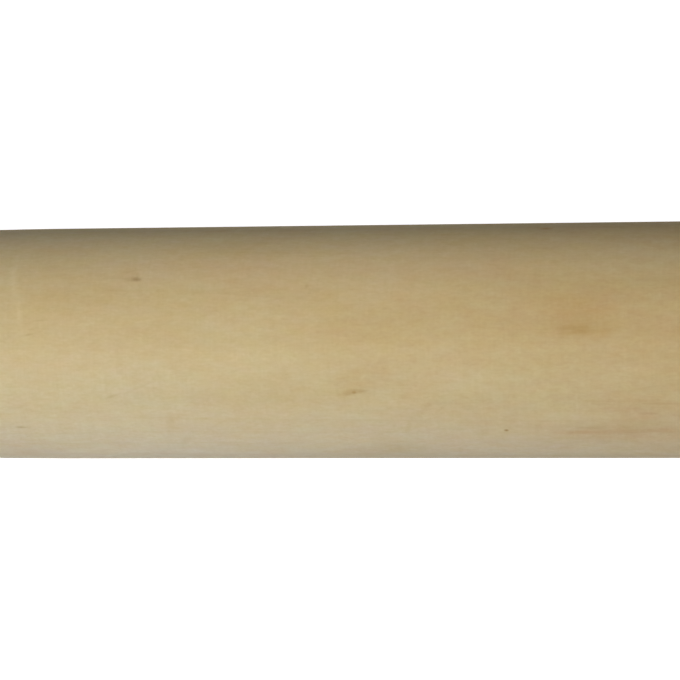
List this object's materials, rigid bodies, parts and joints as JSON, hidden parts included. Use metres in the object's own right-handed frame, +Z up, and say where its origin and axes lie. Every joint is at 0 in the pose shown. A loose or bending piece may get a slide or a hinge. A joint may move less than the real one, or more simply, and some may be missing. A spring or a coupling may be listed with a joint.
{
  "type": "french rolling pin",
  "caption": "Handle-less wooden rolling pin turned in one piece: a long straight belly, eased shoulders, slim tapers and rounded ends.",
  "frame": {"origin": "middle of the pin's axis, half way between the two end faces", "axes": "+X along the pin's axis, +Z up; the pin is the same all round and from end to end"},
  "size_m": [0.508, 0.0444, 0.0444],
  "materials": {
    "hardwood": "satin"
  },
  "bodies": {
    "root": {"turned_pin": "hardwood"}
  },
  "joints": []
}
